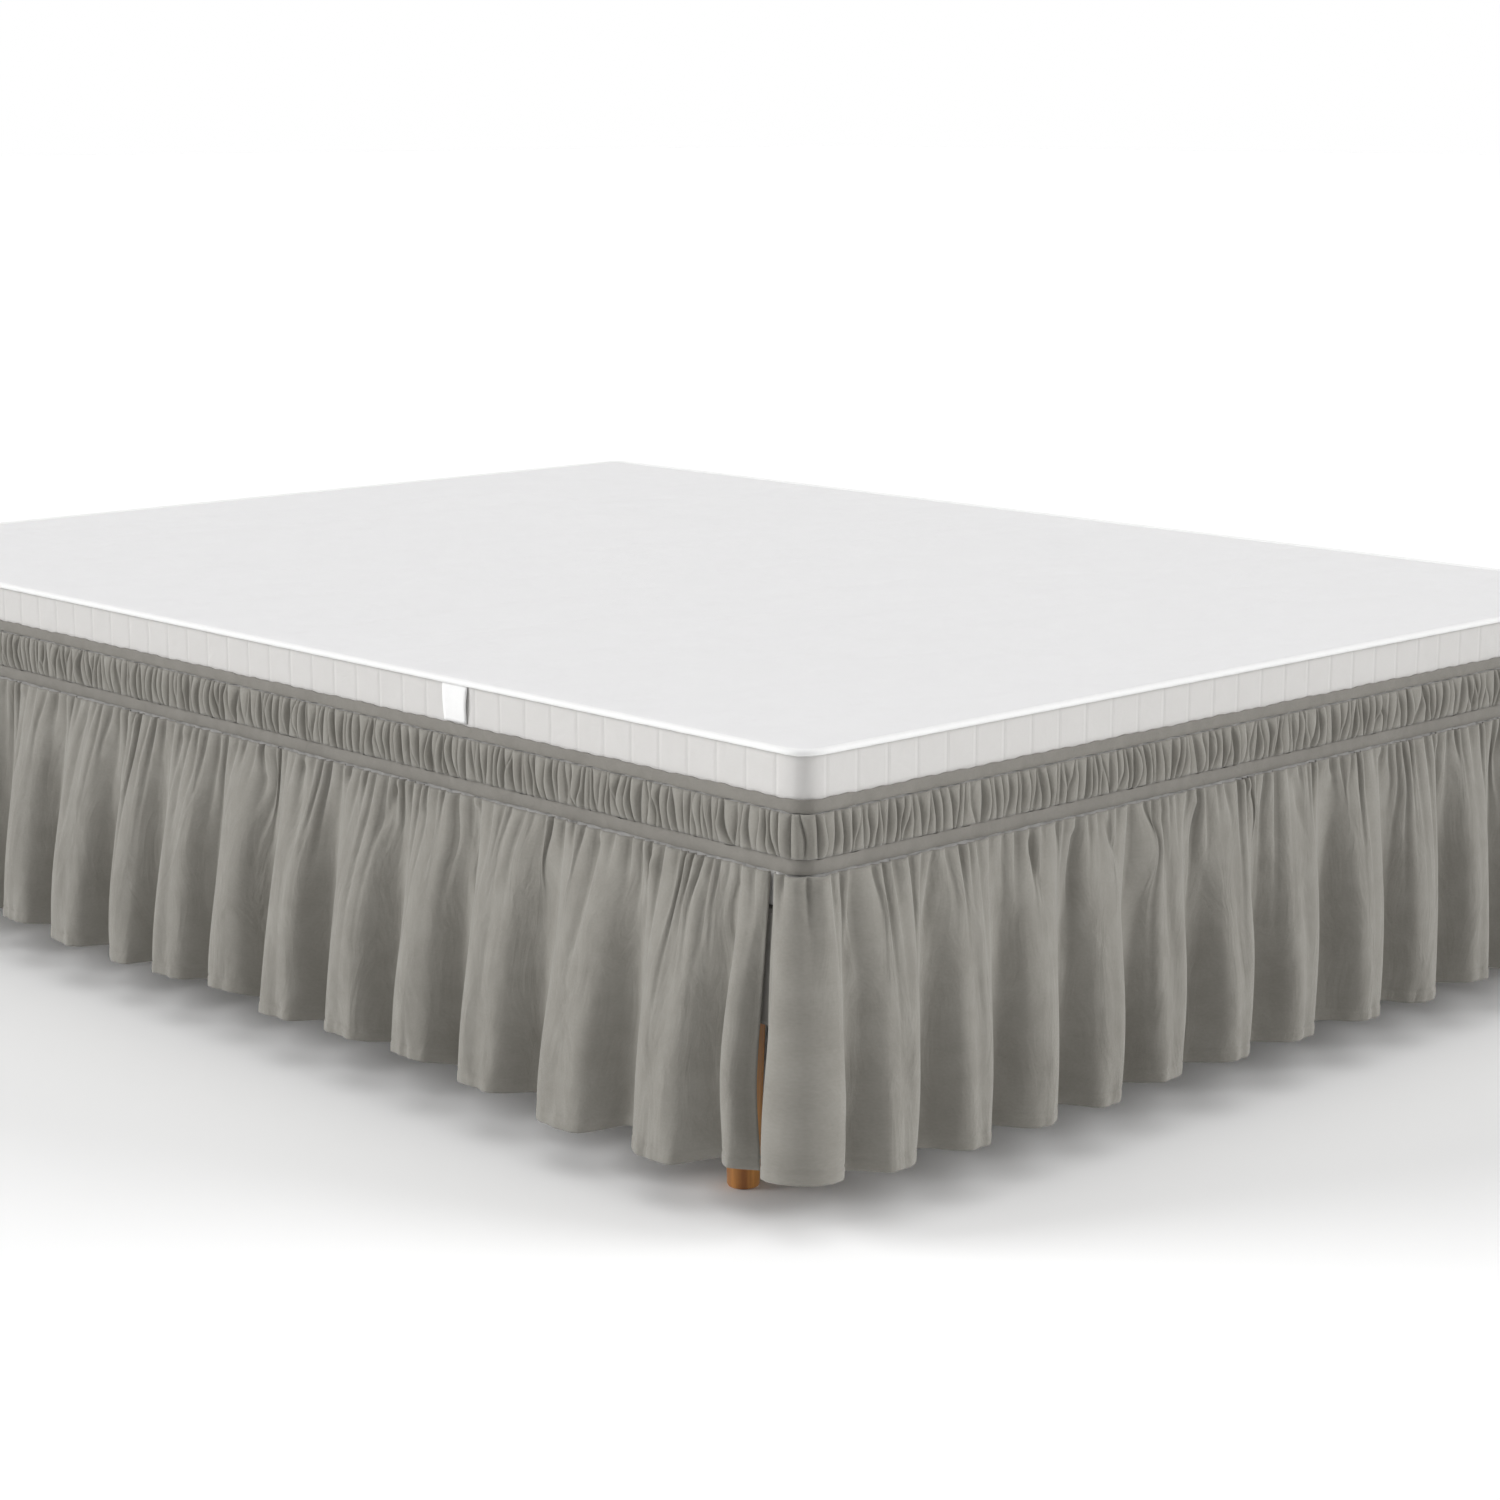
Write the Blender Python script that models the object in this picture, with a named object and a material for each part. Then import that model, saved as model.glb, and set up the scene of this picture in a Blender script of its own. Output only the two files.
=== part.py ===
# Gathered bed skirt, wrapped with two elastic bands round a queen-size bed that stands on four wooden legs.
# Metres, +Z up. The foot of the bed faces -Y, its long sides face -X and +X, and the floor is z = 0.
# The origin lies on the floor, under the middle of the whole object.
import math

import bmesh
import bpy

# The bed that the skirt is stretched round
BED_WIDTH = 1.524
BED_LENGTH = 2.032
CORNER_RADIUS = 0.022
LEG_HEIGHT = 0.205
BASE_HEIGHT = 0.125
BASE_EDGE_RADIUS = 0.006
MATTRESS_TOP = 0.495
MATTRESS_EDGE_RADIUS = 0.007
PIPING_RADIUS = 0.004
PIPING_OUT = 0.0027
PIPING_BELOW_TOP = 0.0029
LEG_TOP_RADIUS = 0.024
LEG_FOOT_RADIUS = 0.0175
LEG_FOOT_CHAMFER = 0.002
LEG_INSET_SIDE = 0.060
LEG_INSET_END = 0.150

# The skirt, measured down from the top edge of its upper elastic band
SKIRT_TOP = 0.445
UPPER_BAND_HEIGHT = 0.014
HEADER_HEIGHT = 0.046
LOWER_BAND_HEIGHT = 0.016
DROP_HEIGHT = 0.307
CLOTH_THICKNESS = 0.0015
BAND_THICKNESS = 0.0024

# Clearances
SEAM_GAP = 0.0003
DRAPE_GAP = 0.0022
SPLIT_WIDTH = 0.005
FOOT_PANEL_WRAP = 0.037

# How the cloth stands away from the bed
DEEPEST_FOLD = 0.064
VALLEY_DEPTH = 0.010
GATHER_DEPTH = 0.0045
HEADER_PUFF = 0.0065
HEADER_COLUMN = 0.022
HEADER_PUCKERS = (0.30, 1.00, 0.45, 0.85, 0.20, 0.95, 0.50, 1.00)
SPLIT_BOW = 0.009
SPLIT_BOW_REACH = 0.110

CORNER_STEPS = 6
COLUMNS_PER_FOLD = 8

# The head end has no cloth drop, so the bed sits this far towards +Y of the object's middle
BED_Y = (DEEPEST_FOLD - BAND_THICKNESS - SEAM_GAP) / 2

# Rows down a drop: share of its height, of the folds' depth, of the gathers' depth, of the split's bow
DROP_ROWS = (
    (0.00, 0.05, 0.6, 0.0),
    (0.12, 0.24, 1.0, 0.2),
    (0.36, 0.56, 0.3, 0.7),
    (0.68, 0.86, 0.0, 1.0),
    (1.00, 1.00, 0.0, 0.1),
)

# Ridges stand this much further along at the hem than at the band, except close to a panel's ends
SIDE_LEAN = 0.012
FOOT_LEAN = -0.028
LEAN_STARTS = 0.120

# One row for each hanging fold: its width, how far it stands out at the hem, and how far its hem hangs
# below the common line. Side panels run from the foot corner to the head.
LEFT_FOLDS = (
    (0.052, 0.040, -0.004),
    (0.142, 0.061, 0.009),
    (0.147, 0.064, 0.010),
    (0.137, 0.062, -0.001),
    (0.119, 0.058, -0.008),
    (0.129, 0.061, -0.005),
    (0.120, 0.063, 0.000),
    (0.115, 0.057, -0.009),
    (0.119, 0.060, -0.002),
    (0.105, 0.055, 0.004),
    (0.136, 0.062, 0.002),
    (0.122, 0.057, -0.003),
    (0.140, 0.063, 0.004),
    (0.128, 0.058, -0.002),
    (0.134, 0.061, 0.001),
    (0.123, 0.052, -0.001),
)
# The foot panel runs from -X to +X and wraps a little way round both corners
FOOT_FOLDS = (
    (0.064, 0.046, -0.004),
    (0.104, 0.057, -0.002),
    (0.108, 0.062, 0.000),
    (0.103, 0.058, 0.001),
    (0.105, 0.061, 0.001),
    (0.107, 0.057, -0.004),
    (0.120, 0.063, -0.004),
    (0.125, 0.060, -0.001),
    (0.124, 0.063, 0.000),
    (0.110, 0.057, 0.003),
    (0.104, 0.060, -0.002),
    (0.114, 0.062, 0.002),
    (0.100, 0.055, 0.000),
    (0.108, 0.059, 0.003),
    (0.083, 0.046, -0.003),
)
RIGHT_FOLDS = (
    (0.061, 0.042, -0.003),
    (0.134, 0.060, 0.004),
    (0.151, 0.064, 0.006),
    (0.122, 0.056, -0.003),
    (0.139, 0.061, 0.001),
    (0.125, 0.058, 0.004),
    (0.113, 0.054, -0.002),
    (0.147, 0.063, 0.005),
    (0.122, 0.057, 0.000),
    (0.134, 0.060, -0.004),
    (0.118, 0.055, 0.002),
    (0.148, 0.062, 0.003),
    (0.127, 0.058, -0.001),
    (0.121, 0.060, 0.003),
    (0.106, 0.056, 0.001),
    (0.100, 0.050, 0.000),
)

# Linear base colour, roughness
CLOTH = ("taupe_cloth", (0.262, 0.250, 0.222), 0.85)
ELASTIC = ("taupe_elastic", (0.215, 0.203, 0.182), 0.80)
TICKING = ("white_ticking", (0.780, 0.775, 0.760), 0.80)
PIPING = ("white_piping", (0.860, 0.860, 0.850), 0.60)
BASE_COVER = ("base_cover", (0.520, 0.500, 0.465), 0.85)
WOOD = ("stained_pine", (0.560, 0.260, 0.075), 0.45)


def clear_scene():
    for old in list(bpy.data.objects):
        bpy.data.objects.remove(old)


def material(finish):
    name, colour, roughness = finish
    found = bpy.data.materials.get(name)
    if found:
        return found
    made = bpy.data.materials.new(name)
    made.use_nodes = True
    shader = made.node_tree.nodes["Principled BSDF"]
    shader.inputs["Base Color"].default_value = (*colour, 1)
    shader.inputs["Roughness"].default_value = roughness
    shader.inputs["Metallic"].default_value = 0
    return made


def add_object(name, bm, finish):
    """Makes a bmesh into a named object with its own material, its faces outwards."""
    bmesh.ops.recalc_face_normals(bm, faces=bm.faces[:])
    mesh = bpy.data.meshes.new(name)
    bm.to_mesh(mesh)
    bm.free()
    mesh.shade_smooth()
    mesh.set_sharp_from_angle(angle=math.radians(50))
    mesh.materials.append(material(finish))
    made = bpy.data.objects.new(name, mesh)
    bpy.context.scene.collection.objects.link(made)
    return made


class BedOutline:
    """The rounded rectangle of the bed's sides seen from above, walked anticlockwise."""

    def __init__(self, offset=0.0):
        self.half_x = BED_WIDTH / 2 + offset
        self.half_y = BED_LENGTH / 2 + offset
        self.radius = CORNER_RADIUS + offset

    def corner(self, sign_x, sign_y, first_angle):
        """Points round one corner, each with its outward direction, over a quarter turn."""
        centre_x = sign_x * (self.half_x - self.radius)
        centre_y = sign_y * (self.half_y - self.radius) + BED_Y
        for step in range(CORNER_STEPS + 1):
            angle = first_angle + math.pi / 2 * step / CORNER_STEPS
            out = (math.cos(angle), math.sin(angle))
            yield (centre_x + self.radius * out[0], centre_y + self.radius * out[1]), out

    def closed_loop(self):
        corners = ((-1, -1, math.pi), (1, -1, math.pi * 1.5), (1, 1, 0), (-1, 1, math.pi / 2))
        return [point for corner in corners for point in self.corner(*corner)]

    def foot_corners(self):
        """From the left side round the foot to the right side, between the ends of the corners' curves."""
        return list(self.corner(-1, -1, math.pi)) + list(self.corner(1, -1, math.pi * 1.5))

    def side(self, sign_x, from_corner):
        """The straight stretch of one side, from a distance past the foot corner to the head corner."""
        x, out = sign_x * self.half_x, (sign_x, 0)
        foot_y, head_y = BED_Y - self.half_y, BED_Y + self.half_y
        return [((x, foot_y + from_corner), out), ((x, head_y - self.radius), out)]

    def wrapped_foot(self, from_corner):
        """Round the foot, from one side to the other, starting and ending on the sides."""
        left, right = self.side(-1, from_corner), self.side(1, from_corner)
        return left[:1] + self.foot_corners() + right[:1]


class Path:
    """A line along the bed's side that can be read at any distance from its start."""

    def __init__(self, points):
        self.points = points
        self.steps = [math.dist(a[0], b[0]) for a, b in zip(points, points[1:])]
        self.length = sum(self.steps)

    def at(self, along):
        """The point at a distance, and the direction that faces away from the bed there."""
        left = min(max(along, 0.0), self.length)
        index = 0
        while index < len(self.steps) - 1 and left > self.steps[index]:
            left -= self.steps[index]
            index += 1
        share = left / self.steps[index]
        (start, start_out), (end, end_out) = self.points[index], self.points[index + 1]
        x, y = (a + (b - a) * share for a, b in zip(start, end))
        out_x, out_y = (a + (b - a) * share for a, b in zip(start_out, end_out))
        size = math.hypot(out_x, out_y)
        return (x, y), (out_x / size, out_y / size)

    def divided(self, spacing):
        """Distances from the start about a spacing apart, with one at each of the path's own points."""
        places, start = [], 0.0
        for step in self.steps:
            count = max(1, round(step / spacing))
            places += [start + step * number / count for number in range(count)]
            start += step
        return places + [self.length]


def rounded_slab(name, bottom, top, edge_radius, finish):
    """A bed-sized slab with round vertical corners and softened top and bottom edges."""
    bm = bmesh.new()
    ring = [bm.verts.new((x, y, bottom)) for (x, y), _ in BedOutline().closed_loop()]
    lower = bm.faces.new(ring)
    made = bmesh.ops.extrude_face_region(bm, geom=[lower])
    raised = [item for item in made["geom"] if isinstance(item, bmesh.types.BMVert)]
    bmesh.ops.translate(bm, verts=raised, vec=(0, 0, top - bottom))
    rims = [edge for edge in bm.edges if edge.verts[0].co.z == edge.verts[1].co.z]
    bmesh.ops.bevel(
        bm, geom=rims, offset=edge_radius, segments=2, profile=0.5, affect="EDGES", material=-1
    )
    return add_object(name, bm, finish)


def elastic_band(name, bottom, height):
    """A flat elastic band all round the bed."""
    inner = BedOutline(SEAM_GAP).closed_loop()
    outer = BedOutline(SEAM_GAP + BAND_THICKNESS).closed_loop()
    bm = bmesh.new()
    rings = [
        [bm.verts.new((x, y, z)) for (x, y), _ in loop]
        for loop, z in ((inner, bottom), (outer, bottom), (outer, bottom + height), (inner, bottom + height))
    ]
    join_rings(bm, rings + rings[:1], closed=True)
    return add_object(name, bm, ELASTIC)


def join_rings(bm, rings, closed):
    """Faces between each line of vertices and the next."""
    for one, other in zip(rings, rings[1:]):
        count = len(one)
        for index in range(count if closed else count - 1):
            following = (index + 1) % count
            bm.faces.new((one[index], one[following], other[following], other[index]))


def sheet_from_rows(name, rows, thickness, finish):
    """Cloth of one thickness from rows of (point, outward direction): its back is set behind its face."""
    bm = bmesh.new()
    front, back = [], []
    for row in rows:
        front.append([bm.verts.new(point) for point, _ in row])
        back.append(
            [bm.verts.new([p - thickness * n for p, n in zip(point, out)]) for point, out in row]
        )
    join_rings(bm, front, closed=False)
    join_rings(bm, back, closed=False)
    for edge in (0, -1):
        join_rings(bm, [front[edge], back[edge]], closed=False)
    for end in (0, -1):
        for upper in range(len(rows) - 1):
            bm.faces.new(
                (front[upper][end], front[upper + 1][end], back[upper + 1][end], back[upper][end])
            )
    return add_object(name, bm, finish)


def gathered_header(top):
    """The strip between the two bands: puckered cloth that puffs out, on the two sides and the foot."""
    outline = BedOutline(DRAPE_GAP)
    left, right = outline.side(-1, outline.radius), outline.side(1, outline.radius)
    path = Path(left[:0:-1] + outline.foot_corners() + right[1:])
    levels = ((top - SEAM_GAP, 0.0), (top - HEADER_HEIGHT / 2, 1.0), (top - HEADER_HEIGHT + SEAM_GAP, 0.0))
    rows = []
    for z, puff in levels:
        row = []
        for along in path.divided(HEADER_COLUMN):
            (x, y), out = path.at(along)
            pucker = HEADER_PUCKERS[round(along / HEADER_COLUMN) % len(HEADER_PUCKERS)]
            depth = CLOTH_THICKNESS + HEADER_PUFF * puff * pucker
            row.append(((x + out[0] * depth, y + out[1] * depth, z), (*out, 0)))
        rows.append(row)
    return sheet_from_rows("header", rows, CLOTH_THICKNESS, CLOTH)


def fold_columns(folds, length):
    """The columns of one drop: place along the bed, share of the fold's swell, and their fold."""
    stretch = length / sum(fold[0] for fold in folds)
    columns, start = [], 0.0
    for fold in folds:
        width = fold[0] * stretch
        for step in range(COLUMNS_PER_FOLD):
            turn = step / COLUMNS_PER_FOLD
            rounded = 0.5 - 0.5 * math.cos(2 * math.pi * turn)
            pointed = 1 - abs(2 * turn - 1)
            columns.append((start + width * turn, (rounded + pointed) / 2, fold))
        start += width
    columns.append((length, 0.0, folds[-1]))
    return columns


def cloth_drop(name, folds, path, lean, split_bow):
    """One hanging panel from the lower band to the hem, its gathers merging into a few large folds.

    Its ridges lean along the bed towards the hem. Its first edge, at a foot corner, bows away from the
    corner by split_bow.
    """
    top = SKIRT_TOP - UPPER_BAND_HEIGHT - HEADER_HEIGHT - LOWER_BAND_HEIGHT - SEAM_GAP
    nearest = DRAPE_GAP + CLOTH_THICKNESS
    columns = fold_columns(folds, path.length)
    rows = []
    for height_share, depth_share, gather_share, bow_share in DROP_ROWS:
        points, faces_out = [], []
        for number, (along, swell, (_, depth, fall)) in enumerate(columns):
            stands = VALLEY_DEPTH + (depth - nearest - VALLEY_DEPTH) * swell
            gather = GATHER_DEPTH * gather_share * (number % 2)
            away = nearest + stands * depth_share + gather
            from_end = min(along, path.length - along)
            shift = lean * (height_share - 1) * min(1.0, from_end / LEAN_STARTS)
            bow = split_bow * bow_share * max(0.0, 1 - along / SPLIT_BOW_REACH)
            (x, y), out = path.at(along + shift + bow)
            z = top - (DROP_HEIGHT + fall * swell) * height_share
            points.append((x + out[0] * away, y + out[1] * away, z))
            faces_out.append(out)
        rows.append(list(zip(points, square_to(points, faces_out))))
    return sheet_from_rows(name, rows, CLOTH_THICKNESS, CLOTH)


def square_to(points, faces_out):
    """The level direction square to a line at each of its points, facing away from the bed."""
    found = []
    for index, out in enumerate(faces_out):
        before, after = points[max(index - 1, 0)], points[min(index + 1, len(points) - 1)]
        square = (after[1] - before[1], before[0] - after[0])
        size = math.copysign(math.hypot(*square), square[0] * out[0] + square[1] * out[1])
        found.append((square[0] / size, square[1] / size, 0))
    return found


def bed_leg(name, x, y):
    """A turned leg, wider at its top, with a chamfered foot."""
    bm = bmesh.new()
    bmesh.ops.create_cone(
        bm,
        cap_ends=True,
        segments=20,
        radius1=LEG_FOOT_RADIUS,
        radius2=LEG_TOP_RADIUS,
        depth=LEG_HEIGHT - SEAM_GAP,
    )
    bmesh.ops.translate(bm, verts=bm.verts[:], vec=(0, 0, (LEG_HEIGHT - SEAM_GAP) / 2))
    foot_rim = [edge for edge in bm.edges if max(vert.co.z for vert in edge.verts) < 1e-6]
    bmesh.ops.bevel(
        bm, geom=foot_rim, offset=LEG_FOOT_CHAMFER, segments=1, profile=0.5, affect="EDGES", material=-1
    )
    leg = add_object(name, bm, WOOD)
    leg.location = (x, y, 0)
    return leg


def mattress_piping():
    """The corded seam that stands out round the mattress's top edge."""
    outline = BedOutline(PIPING_OUT).closed_loop()
    curve = bpy.data.curves.new("mattress_piping", "CURVE")
    curve.dimensions = "3D"
    curve.bevel_depth = PIPING_RADIUS
    curve.bevel_resolution = 1
    spline = curve.splines.new("POLY")
    spline.points.add(len(outline) - 1)
    for point, ((x, y), _) in zip(spline.points, outline):
        point.co = (x, y, MATTRESS_TOP - PIPING_BELOW_TOP, 1)
    spline.use_cyclic_u = True
    curve.materials.append(material(PIPING))
    made = bpy.data.objects.new("mattress_piping", curve)
    bpy.context.scene.collection.objects.link(made)
    return made


def bed():
    base_top = LEG_HEIGHT + BASE_HEIGHT
    rounded_slab("bed_base", LEG_HEIGHT, base_top, BASE_EDGE_RADIUS, BASE_COVER)
    rounded_slab("mattress", base_top + SEAM_GAP, MATTRESS_TOP, MATTRESS_EDGE_RADIUS, TICKING)
    mattress_piping()
    for end, sign_y in (("foot", -1), ("head", 1)):
        for side, sign_x in (("left", -1), ("right", 1)):
            x = sign_x * (BED_WIDTH / 2 - LEG_INSET_SIDE)
            y = sign_y * (BED_LENGTH / 2 - LEG_INSET_END) + BED_Y
            bed_leg(f"leg_{end}_{side}", x, y)


def skirt():
    header_top = SKIRT_TOP - UPPER_BAND_HEIGHT
    elastic_band("elastic_upper", header_top, UPPER_BAND_HEIGHT)
    gathered_header(header_top)
    lower_band_bottom = header_top - HEADER_HEIGHT - LOWER_BAND_HEIGHT
    elastic_band("elastic_lower", lower_band_bottom, LOWER_BAND_HEIGHT)

    outline = BedOutline()
    left, right = (outline.side(sign_x, FOOT_PANEL_WRAP + SPLIT_WIDTH) for sign_x in (-1, 1))
    cloth_drop("drop_left", LEFT_FOLDS, Path(left), SIDE_LEAN, SPLIT_BOW)
    cloth_drop("drop_foot", FOOT_FOLDS, Path(outline.wrapped_foot(FOOT_PANEL_WRAP)), FOOT_LEAN, 0.0)
    cloth_drop("drop_right", RIGHT_FOLDS, Path(right), SIDE_LEAN, SPLIT_BOW)


clear_scene()
bed()
skirt()
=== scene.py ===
# A gathered bed skirt held round a bed by two elastic bands. Metres, +Z up, the foot of the bed towards -Y.
import math

import bmesh
import bpy
import numpy as np
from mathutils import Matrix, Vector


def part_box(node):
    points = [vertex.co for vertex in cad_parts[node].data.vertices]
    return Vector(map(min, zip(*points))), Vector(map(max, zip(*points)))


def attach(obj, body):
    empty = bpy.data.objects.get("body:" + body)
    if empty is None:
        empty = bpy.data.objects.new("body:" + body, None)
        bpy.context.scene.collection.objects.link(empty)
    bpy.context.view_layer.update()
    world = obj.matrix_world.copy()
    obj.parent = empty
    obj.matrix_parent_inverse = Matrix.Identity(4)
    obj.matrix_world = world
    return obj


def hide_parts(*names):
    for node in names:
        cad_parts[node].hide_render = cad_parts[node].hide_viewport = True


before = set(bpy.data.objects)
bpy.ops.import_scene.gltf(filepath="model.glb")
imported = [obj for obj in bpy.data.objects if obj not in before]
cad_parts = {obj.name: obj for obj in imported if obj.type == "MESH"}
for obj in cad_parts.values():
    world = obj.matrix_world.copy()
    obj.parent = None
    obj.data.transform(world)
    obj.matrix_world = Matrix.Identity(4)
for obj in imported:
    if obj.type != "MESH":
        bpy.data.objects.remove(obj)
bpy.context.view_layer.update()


# Legs
#
# Four turned wooden legs, stained orange-brown and varnished, screwed up into the bed's base.
# Each tapers a little towards the floor and ends in a softened foot.
LEG_TAPER = (
    (0.0000, 0.0140),
    (0.0008, 0.0160),
    (0.0030, 0.0172),
    (0.0500, 0.0188),
    (0.1500, 0.0222),
    (0.2045, 0.0238),
)
LEG_TURNS = 48
WOOD_LIGHT = (0.640, 0.290, 0.070, 1)
WOOD_DARK = (0.360, 0.130, 0.028, 1)


def new_material(name, roughness):
    """A material with its shader, and the shader's node tree."""
    made = bpy.data.materials.new(name)
    made.use_nodes = True
    shader = made.node_tree.nodes["Principled BSDF"]
    shader.inputs["Roughness"].default_value = roughness
    return made, made.node_tree, shader


def add_node(tree, kind, **inputs):
    """A node of that kind with the named inputs set or linked."""
    made = tree.nodes.new(kind)
    for name, value in inputs.items():
        socket = made.inputs[name.replace("_", " ")]
        if isinstance(value, bpy.types.NodeSocket):
            tree.links.new(value, socket)
        else:
            socket.default_value = value
    return made


def stained_wood():
    """Straight grain along the leg, with darker growth lines and a satin varnish."""
    made, tree, shader = new_material("stained pine", 0.36)
    place = add_node(tree, "ShaderNodeTexCoord").outputs["Object"]
    along = add_node(tree, "ShaderNodeMapping", Vector=place, Scale=(1.0, 1.0, 0.07)).outputs["Vector"]
    grain = add_node(tree, "ShaderNodeTexNoise", Vector=along, Scale=150.0, Detail=6.0, Roughness=0.62)
    rings = add_node(tree, "ShaderNodeTexNoise", Vector=along, Scale=38.0, Detail=2.0, Distortion=0.8)
    blend = add_node(tree, "ShaderNodeMath")
    blend.operation = "MULTIPLY_ADD"
    tree.links.new(grain.outputs["Fac"], blend.inputs[0])
    blend.inputs[1].default_value = 0.55
    tree.links.new(rings.outputs["Fac"], blend.inputs[2])
    ramp = add_node(tree, "ShaderNodeValToRGB", Fac=blend.outputs["Value"])
    ramp.color_ramp.elements[0].position, ramp.color_ramp.elements[0].color = 0.62, WOOD_DARK
    ramp.color_ramp.elements[1].position, ramp.color_ramp.elements[1].color = 0.86, WOOD_LIGHT
    tree.links.new(ramp.outputs["Color"], shader.inputs["Base Color"])
    bump = add_node(tree, "ShaderNodeBump", Height=grain.outputs["Fac"], Strength=0.25, Distance=0.0004)
    tree.links.new(bump.outputs["Normal"], shader.inputs["Normal"])
    shader.inputs["Coat Weight"].default_value = 0.25
    shader.inputs["Coat Roughness"].default_value = 0.22
    return made


def finished_piece(name, bm, finish, slot_name, *nodes, smooth_angle=60):
    """A bmesh made into a shaded piece that rides on the bed and stands for the named solids."""
    mesh = bpy.data.meshes.new(name)
    bm.to_mesh(mesh)
    bm.free()
    mesh.shade_smooth()
    mesh.set_sharp_from_angle(angle=math.radians(smooth_angle))
    mesh.materials.append(finish)
    piece = bpy.data.objects.new(name, mesh)
    bpy.context.scene.collection.objects.link(piece)
    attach(piece, "root")
    if nodes:
        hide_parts(*nodes)
    return piece


wood = stained_wood()
for leg_node in ("leg_foot_left", "leg_foot_right", "leg_head_left", "leg_head_right"):
    low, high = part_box(leg_node)
    middle_x, middle_y = (low.x + high.x) / 2, (low.y + high.y) / 2
    bm = bmesh.new()
    profile = [bm.verts.new((middle_x + radius, middle_y, z)) for z, radius in LEG_TAPER]
    for lower, upper in zip(profile, profile[1:]):
        bm.edges.new((lower, upper))
    bmesh.ops.spin(
        bm, geom=bm.verts[:] + bm.edges[:], cent=(middle_x, middle_y, 0), axis=(0, 0, 1),
        angle=math.tau, steps=LEG_TURNS, use_merge=True,
    )
    bmesh.ops.remove_doubles(bm, verts=bm.verts[:], dist=1e-5)
    bmesh.ops.holes_fill(bm, edges=[edge for edge in bm.edges if edge.is_boundary], sides=0)
    bmesh.ops.recalc_face_normals(bm, faces=bm.faces[:])
    finished_piece(leg_node.replace("leg_", "wooden_leg_"), bm, wood, "stained_pine", leg_node)


# Base
#
# A boxed wooden frame covered in plain woven beige cloth.
# The skirt hides it on three sides, so it shows only at the head and from below.
BASE_CLOTH = (0.520, 0.500, 0.465, 1)
BASE_CLOTH_DARK = (0.400, 0.380, 0.345, 1)


def cloth_surface():
    """Woven cloth: soft uneven colour, a thread pattern and small rumples, read from a vector in metres."""
    group = bpy.data.node_groups.new("woven cloth", "ShaderNodeTree")
    face = group.interface
    for name in ("Vector", "Rumple stretch"):
        face.new_socket(name, in_out="INPUT", socket_type="NodeSocketVector")
    for name in ("Light", "Dark"):
        face.new_socket(name, in_out="INPUT", socket_type="NodeSocketColor")
    for name in ("Threads per metre", "Thread depth", "Rumple size", "Rumple depth", "Mottle"):
        face.new_socket(name, in_out="INPUT", socket_type="NodeSocketFloat")
    face.new_socket("Color", in_out="OUTPUT", socket_type="NodeSocketColor")
    face.new_socket("Roughness", in_out="OUTPUT", socket_type="NodeSocketFloat")
    face.new_socket("Normal", in_out="OUTPUT", socket_type="NodeSocketVector")
    given = group.nodes.new("NodeGroupInput").outputs
    out = group.nodes.new("NodeGroupOutput").inputs

    def link(source, target):
        group.links.new(source, target)

    def sum_of(operation, *values):
        node = group.nodes.new("ShaderNodeMath")
        node.operation = operation
        for index, value in enumerate(values):
            if isinstance(value, bpy.types.NodeSocket):
                link(value, node.inputs[index])
            else:
                node.inputs[index].default_value = value
        return node.outputs["Value"]

    parts = add_node(group, "ShaderNodeSeparateXYZ", Vector=given["Vector"]).outputs
    turn = sum_of("MULTIPLY", given["Threads per metre"], math.tau)
    weave = sum_of(
        "MULTIPLY",
        sum_of("SINE", sum_of("MULTIPLY", parts["X"], turn)),
        sum_of("SINE", sum_of("MULTIPLY", sum_of("ADD", parts["Y"], parts["Z"]), turn)),
    )
    nap = add_node(group, "ShaderNodeTexNoise", Vector=given["Vector"], Scale=420.0, Detail=3.0)
    stretched = group.nodes.new("ShaderNodeVectorMath")
    stretched.operation = "MULTIPLY"
    link(given["Vector"], stretched.inputs[0])
    link(given["Rumple stretch"], stretched.inputs[1])
    rumple = add_node(
        group, "ShaderNodeTexNoise", Vector=stretched.outputs["Vector"], Scale=given["Rumple size"], Detail=4.0,
        Distortion=0.8,
    )
    mottle = add_node(group, "ShaderNodeTexNoise", Vector=given["Vector"], Scale=23.0, Detail=5.0, Roughness=0.6)
    share = sum_of("ADD", sum_of("MULTIPLY", sum_of("SUBTRACT", mottle.outputs["Fac"], 0.5), given["Mottle"]), 0.5)
    share = sum_of("ADD", share, sum_of("MULTIPLY", weave, 0.10))
    share = sum_of("ADD", share, sum_of("MULTIPLY", sum_of("SUBTRACT", nap.outputs["Fac"], 0.5), 0.5))
    mix = group.nodes.new("ShaderNodeMix")
    mix.data_type = "RGBA"
    mix.clamp_factor = True
    link(share, mix.inputs[0])
    link(given["Dark"], mix.inputs[6])
    link(given["Light"], mix.inputs[7])
    link(mix.outputs[2], out["Color"])
    rough = sum_of("ADD", sum_of("MULTIPLY", nap.outputs["Fac"], 0.16), 0.74)
    link(rough, out["Roughness"])
    threads = add_node(group, "ShaderNodeBump", Strength=0.5, Distance=given["Thread depth"], Height=weave)
    fuzz = add_node(
        group, "ShaderNodeBump", Strength=0.6, Distance=given["Thread depth"], Height=nap.outputs["Fac"],
        Normal=threads.outputs["Normal"],
    )
    soft = add_node(
        group, "ShaderNodeBump", Strength=1.0, Distance=given["Rumple depth"], Height=rumple.outputs["Fac"],
        Normal=fuzz.outputs["Normal"],
    )
    link(soft.outputs["Normal"], out["Normal"])
    return group


woven = cloth_surface()


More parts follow.
